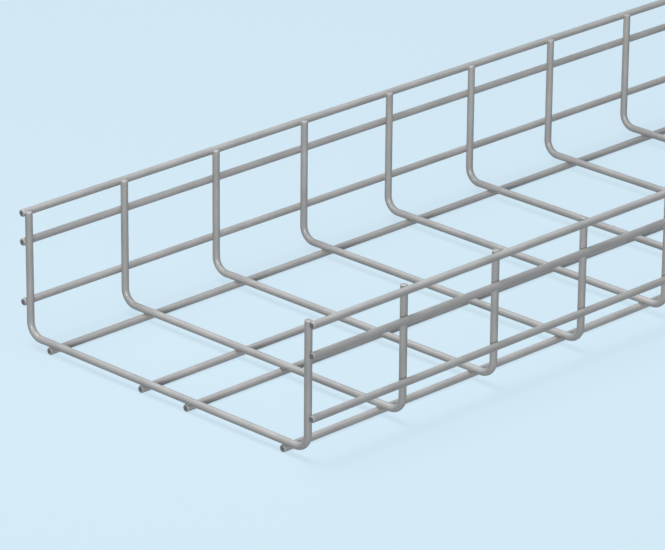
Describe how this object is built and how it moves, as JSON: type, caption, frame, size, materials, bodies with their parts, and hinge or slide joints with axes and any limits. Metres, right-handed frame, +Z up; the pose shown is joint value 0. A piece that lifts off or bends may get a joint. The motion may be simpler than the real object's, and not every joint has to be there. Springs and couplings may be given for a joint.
{
  "type": "wire mesh cable basket",
  "caption": "Straight U-shaped length of welded wire mesh basket that carries cables, with long wires welded outside bent cross wires.",
  "frame": {"origin": "middle of the length and width, on the plane that the floor wires stand on", "axes": "+X along the basket, +Y across it to its left side, +Z up out of its open top"},
  "size_m": [3.006, 0.3236, 0.1128],
  "materials": {
    "zinc_coated_wire": "satin zinc coating"
  },
  "bodies": {
    "root": {"side_wire_top_left": "zinc_coated_wire", "side_wire_middle_left": "zinc_coated_wire", "side_wire_low_left": "zinc_coated_wire", "floor_wire_outer_left": "zinc_coated_wire", "floor_wire_inner_left": "zinc_coated_wire", "side_wire_top_right": "zinc_coated_wire", "side_wire_middle_right": "zinc_coated_wire", "side_wire_low_right": "zinc_coated_wire", "floor_wire_outer_right": "zinc_coated_wire", "floor_wire_inner_right": "zinc_coated_wire", "cross_wire_01": "zinc_coated_wire", "cross_wire_02": "zinc_coated_wire", "cross_wire_03": "zinc_coated_wire", "cross_wire_04": "zinc_coated_wire", "cross_wire_05": "zinc_coated_wire", "cross_wire_06": "zinc_coated_wire", "cross_wire_07": "zinc_coated_wire", "cross_wire_08": "zinc_coated_wire", "cross_wire_09": "zinc_coated_wire", "cross_wire_10": "zinc_coated_wire", "cross_wire_11": "zinc_coated_wire", "cross_wire_12": "zinc_coated_wire", "cross_wire_13": "zinc_coated_wire", "cross_wire_14": "zinc_coated_wire", "cross_wire_15": "zinc_coated_wire", "cross_wire_16": "zinc_coated_wire", "cross_wire_17": "zinc_coated_wire", "cross_wire_18": "zinc_coated_wire", "cross_wire_19": "zinc_coated_wire", "cross_wire_20": "zinc_coated_wire", "cross_wire_21": "zinc_coated_wire", "cross_wire_22": "zinc_coated_wire", "cross_wire_23": "zinc_coated_wire", "cross_wire_24": "zinc_coated_wire", "cross_wire_25": "zinc_coated_wire", "cross_wire_26": "zinc_coated_wire", "cross_wire_27": "zinc_coated_wire", "cross_wire_28": "zinc_coated_wire", "cross_wire_29": "zinc_coated_wire", "cross_wire_30": "zinc_coated_wire", "cross_wire_31": "zinc_coated_wire"}
  },
  "joints": []
}
